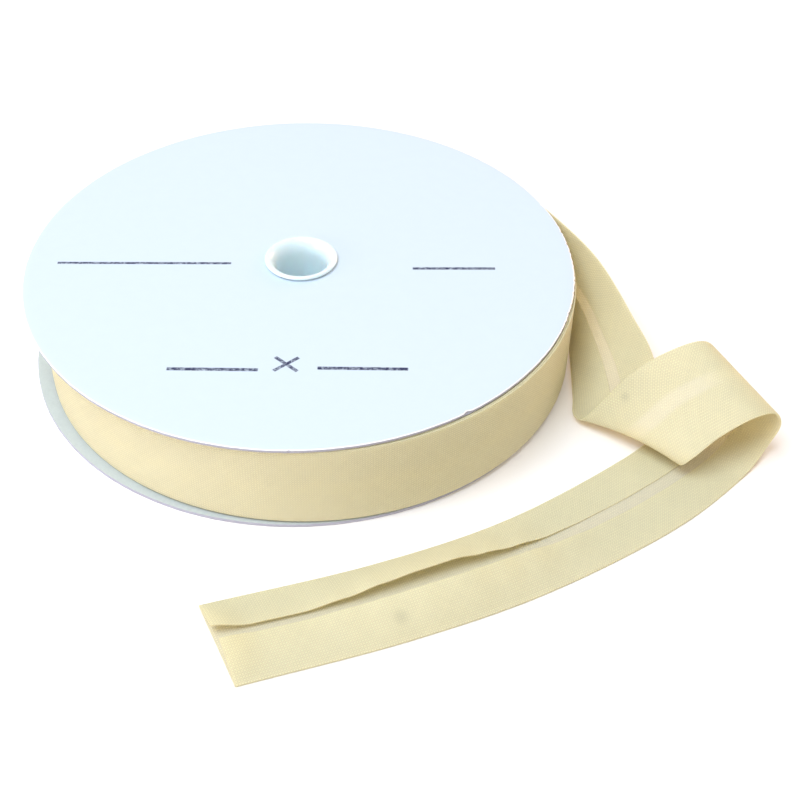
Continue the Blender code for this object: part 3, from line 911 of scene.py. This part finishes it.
def folded_tape_mesh():
    """The loose tape as one thin sheet, folded along both edges."""
    tape = bpy.context.scene.tape_sizes
    rows, place_rows = smooth_rows(tape_places(), tape.row_spacing)
    names = [row[0] for row in LOOSE_END]
    first_loose = len(place_rows) - len(LOOSE_END)
    shown_from, shown_to = [place_rows[first_loose + names.index(name)] for name in PAINTED_SHEEN_STRETCH]
    middles = [(lower + upper) / 2 for lower, upper, bow in rows]
    run = [0.0]
    for before, after in zip(middles, middles[1:]):
        run.append(run[-1] + (after - before).length)
    to_cut_end = [0.0] * len(rows)
    for i in range(len(rows) - 2, -1, -1):
        to_cut_end[i] = to_cut_end[i + 1] + (rows[i + 1][0] - rows[i][0]).length
    model = bmesh.new()
    flat_map = model.loops.layers.uv.new("flat_cloth")
    # Rows that carry the painted sheen along the gap, fading in and out at its ends
    through = model.verts.layers.float.new("painted_sheen_rows")
    off_gap = model.verts.layers.float.new("off_gap")
    lines = []
    for i, (lower, upper, bow) in enumerate(rows):
        before = rows[max(i - 1, 0)]
        after = rows[min(i + 1, len(rows) - 1)]
        lower_way = (after[0] - before[0]).normalized()
        upper_way = (after[1] - before[1]).normalized()
        across = (upper - lower).normalized()
        stretch = (upper - lower).length / TAPE_WIDTH
        line = []
        lower_lift, upper_lift, uneven = flaps_at(to_cut_end[i])
        for aside, up, flat in folded_section(lower_lift, upper_lift, uneven):
            share = min(max(aside / TAPE_WIDTH + 0.5, 0.0), 1.0)
            normal = lower_way.lerp(upper_way, share).cross(across).normalized()
            raised = bow * (1 - (2 * share - 1) ** 2)
            vertex = model.verts.new(middles[i] + across * aside * stretch + normal * up + raised)
            vertex[through] = max(0.0, min(1.0, (i - shown_from) / FADE_ROWS, (shown_to - i) / FADE_ROWS))
            vertex[off_gap] = abs(flat - tape.cut_width / 2 + 2 * uneven)
            line.append((vertex, run[i], flat))
        lines.append(line)
    for line, following in zip(lines, lines[1:]):
        for j in range(len(line) - 1):
            corners = (line[j], line[j + 1], following[j + 1], following[j])
            face = model.faces.new([corner[0] for corner in corners])
            face.smooth = True
            for loop, corner in zip(face.loops, corners):
                loop[flat_map].uv = (corner[1], corner[2])
    mesh = bpy.data.meshes.new("folded_tape")
    model.to_mesh(mesh)
    model.free()
    return mesh, run[-1]


def thickened(mesh, name, materials):
    """The sheet with the cloth's thickness: right side, wrong side and cut edges each with a finish."""
    tape = bpy.context.scene.tape_sizes
    holder = bpy.data.objects.new(name, mesh)
    bpy.context.scene.collection.objects.link(holder)
    for material in materials:
        mesh.materials.append(material)
    solid = holder.modifiers.new("Cloth", "SOLIDIFY")
    solid.thickness = tape.cloth_thickness
    solid.offset = 0.0
    solid.use_even_offset = True
    solid.material_offset = 1
    solid.material_offset_rim = 2
    evaluated = holder.evaluated_get(bpy.context.evaluated_depsgraph_get())
    result = bpy.data.meshes.new_from_object(evaluated)
    result.name = name
    result.set_sharp_from_angle(angle=math.radians(60))
    bpy.data.objects.remove(holder)
    return result


class REEL_OT_lay_loose_end(bpy.types.Operator):
    """Lay the last turn and the loose end of the tape."""
    bl_idname = "reel.lay_loose_end"
    bl_label = "Lay loose end"

    def execute(self, context):
        tape = context.scene.tape_sizes
        weave = plain_weave()
        right_side = bias_cloth("bias_cut_plain_weave", tape.cloth_colour, weave, painted_gap_sheen=0.33)
        wrong_side = bias_cloth("plain_weave_wrong_side", tape.back_colour, weave, painted_gap_sheen=0.0)
        cut_edge = bias_cloth("raw_cut_edge", linear("#F4EDCF"), weave, painted_gap_sheen=0.0)
        flat, length = folded_tape_mesh()
        mesh = thickened(flat, "loose_tape", (right_side, wrong_side, cut_edge))
        piece = finished_piece(mesh, "tape_end")
        return {"FINISHED"}


class REEL_OT_set_stage(bpy.types.Operator):
    """Set the pale floor, the soft lights and the camera."""
    bl_idname = "reel.set_stage"
    bl_label = "Set stage"

    def execute(self, context):
        stage = context.scene.stage_sizes
        context.scene.view_settings.view_transform = "Standard"
        add_floor(stage)
        add_room(stage)
        add_soft_box("key_soft_box", (-0.32, -0.26, 0.95), 0.6, stage.key_power, stage.light_colour)
        add_soft_box("side_soft_box", (-0.85, -0.40, 0.14), 0.3, stage.side_power, stage.side_colour)
        add_soft_box("back_soft_box", (0.62, 0.62, 0.16), 0.4, stage.back_power, stage.back_light_colour)
        add_camera(stage)
        return {"FINISHED"}


def add_floor(stage):
    """A wide pale floor just under the reel."""
    half = FLOOR_HALF_SIDE
    corners = [(x, y, -FLOOR_DROP) for x, y in ((-half, -half), (half, -half), (half, half), (-half, half))]
    mesh = bpy.data.meshes.new("floor")
    mesh.from_pydata(corners, [], [(0, 1, 2, 3)])
    floor = bpy.data.objects.new("floor", mesh)
    bpy.context.scene.collection.objects.link(floor)
    material, tree, shader = new_finish("matt_floor_paper", stage.floor_colour, 0.9, Specular_IOR_Level=0.1)
    where = add(tree, "ShaderNodeTexCoord").outputs["Object"]
    tooth = add(tree, "ShaderNodeTexNoise", {"Vector": where, "Scale": 40.0, "Detail": 4.0})
    colour = tinted(tree, stage.floor_colour, tooth.outputs["Fac"], 0.01)
    tree.links.new(colour, shader.inputs["Base Color"])
    mesh.materials.append(material)


def add_room(stage):
    """A bright room with a white ceiling and slightly warmer walls."""
    world = bpy.data.worlds.new("bright_room")
    world.use_nodes = True
    tree = world.node_tree
    way = add(tree, "ShaderNodeTexCoord").outputs["Object"]
    height = add(tree, "ShaderNodeSeparateXYZ", {0: way}).outputs["Z"]
    above = add(tree, "ShaderNodeMapRange", {"Value": height, "From Min": 0.05, "From Max": 0.75},
                interpolation_type="SMOOTHSTEP").outputs[0]
    colour = add(tree, "ShaderNodeMix", {"Factor": above, 6: stage.wall_colour, 7: stage.ceiling_colour},
                 data_type="RGBA").outputs[2]
    sky = tree.nodes["Background"]
    tree.links.new(colour, sky.inputs["Color"])
    sky.inputs["Strength"].default_value = stage.sky_strength
    bpy.context.scene.world = world


def add_soft_box(name, offset, size, power, colour):
    """A square soft box, at an offset from the middle of the part, turned to face it."""
    light = bpy.data.lights.new(name, "AREA")
    light.shape = "SQUARE"
    light.size = size
    light.energy = power
    light.color = colour[:3]
    box = bpy.data.objects.new(name, light)
    aim = Vector((0.0, 0.0, 0.01))
    box.location = aim + Vector(offset)
    box.rotation_euler = (aim - box.location).to_track_quat("-Z", "Y").to_euler()
    bpy.context.scene.collection.objects.link(box)


def add_camera(stage):
    """The camera as the picture has it: level to the left and right but for a small roll."""
    data = bpy.data.cameras.new("camera")
    data.lens = stage.lens
    data.sensor_width = 36.0
    data.clip_start = 0.01
    camera = bpy.data.objects.new("camera", data)
    look = Matrix.Rotation(math.pi / 2 - stage.camera_pitch, 4, "X")
    roll = Matrix.Rotation(stage.camera_roll, 4, "Z")
    place = Matrix.Translation(Vector((*REEL_AXIS, 0.0)) + Vector(stage.camera_offset))
    camera.matrix_world = place @ look @ roll
    bpy.context.scene.collection.objects.link(camera)
    bpy.context.scene.camera = camera


class REEL_PT_bias_tape(bpy.types.Panel):
    """Sidebar panel with the sizes and the steps that build the roll."""
    bl_label = "Bias tape roll"
    bl_idname = "REEL_PT_bias_tape"
    bl_space_type = "VIEW_3D"
    bl_region_type = "UI"
    bl_category = "Bias tape"

    def draw(self, context):
        for heading, group in (("Reel", context.scene.reel_sizes), ("Tape", context.scene.tape_sizes),
                               ("Stage", context.scene.stage_sizes)):
            box = self.layout.box()
            box.label(text=heading)
            for name in group.__annotations__:
                box.prop(group, name)
        for step in STEPS:
            self.layout.operator(step.bl_idname)


STEPS = (REEL_OT_add_cards, REEL_OT_add_hub, REEL_OT_wind_tape, REEL_OT_lay_loose_end, REEL_OT_set_stage)
CLASSES = (ReelSizes, TapeSizes, StageSizes, *STEPS, REEL_PT_bias_tape)


def register():
    for each in CLASSES:
        bpy.utils.register_class(each)
    bpy.types.Scene.reel_sizes = PointerProperty(type=ReelSizes)
    bpy.types.Scene.tape_sizes = PointerProperty(type=TapeSizes)
    bpy.types.Scene.stage_sizes = PointerProperty(type=StageSizes)


def unregister():
    del bpy.types.Scene.stage_sizes
    del bpy.types.Scene.tape_sizes
    del bpy.types.Scene.reel_sizes
    for each in reversed(CLASSES):
        bpy.utils.unregister_class(each)


def main():
    register()
    bpy.ops.reel.add_cards()
    bpy.ops.reel.add_hub()
    bpy.ops.reel.wind_tape()
    bpy.ops.reel.lay_loose_end()
    bpy.ops.reel.set_stage()


if __name__ == "__main__":
    main()
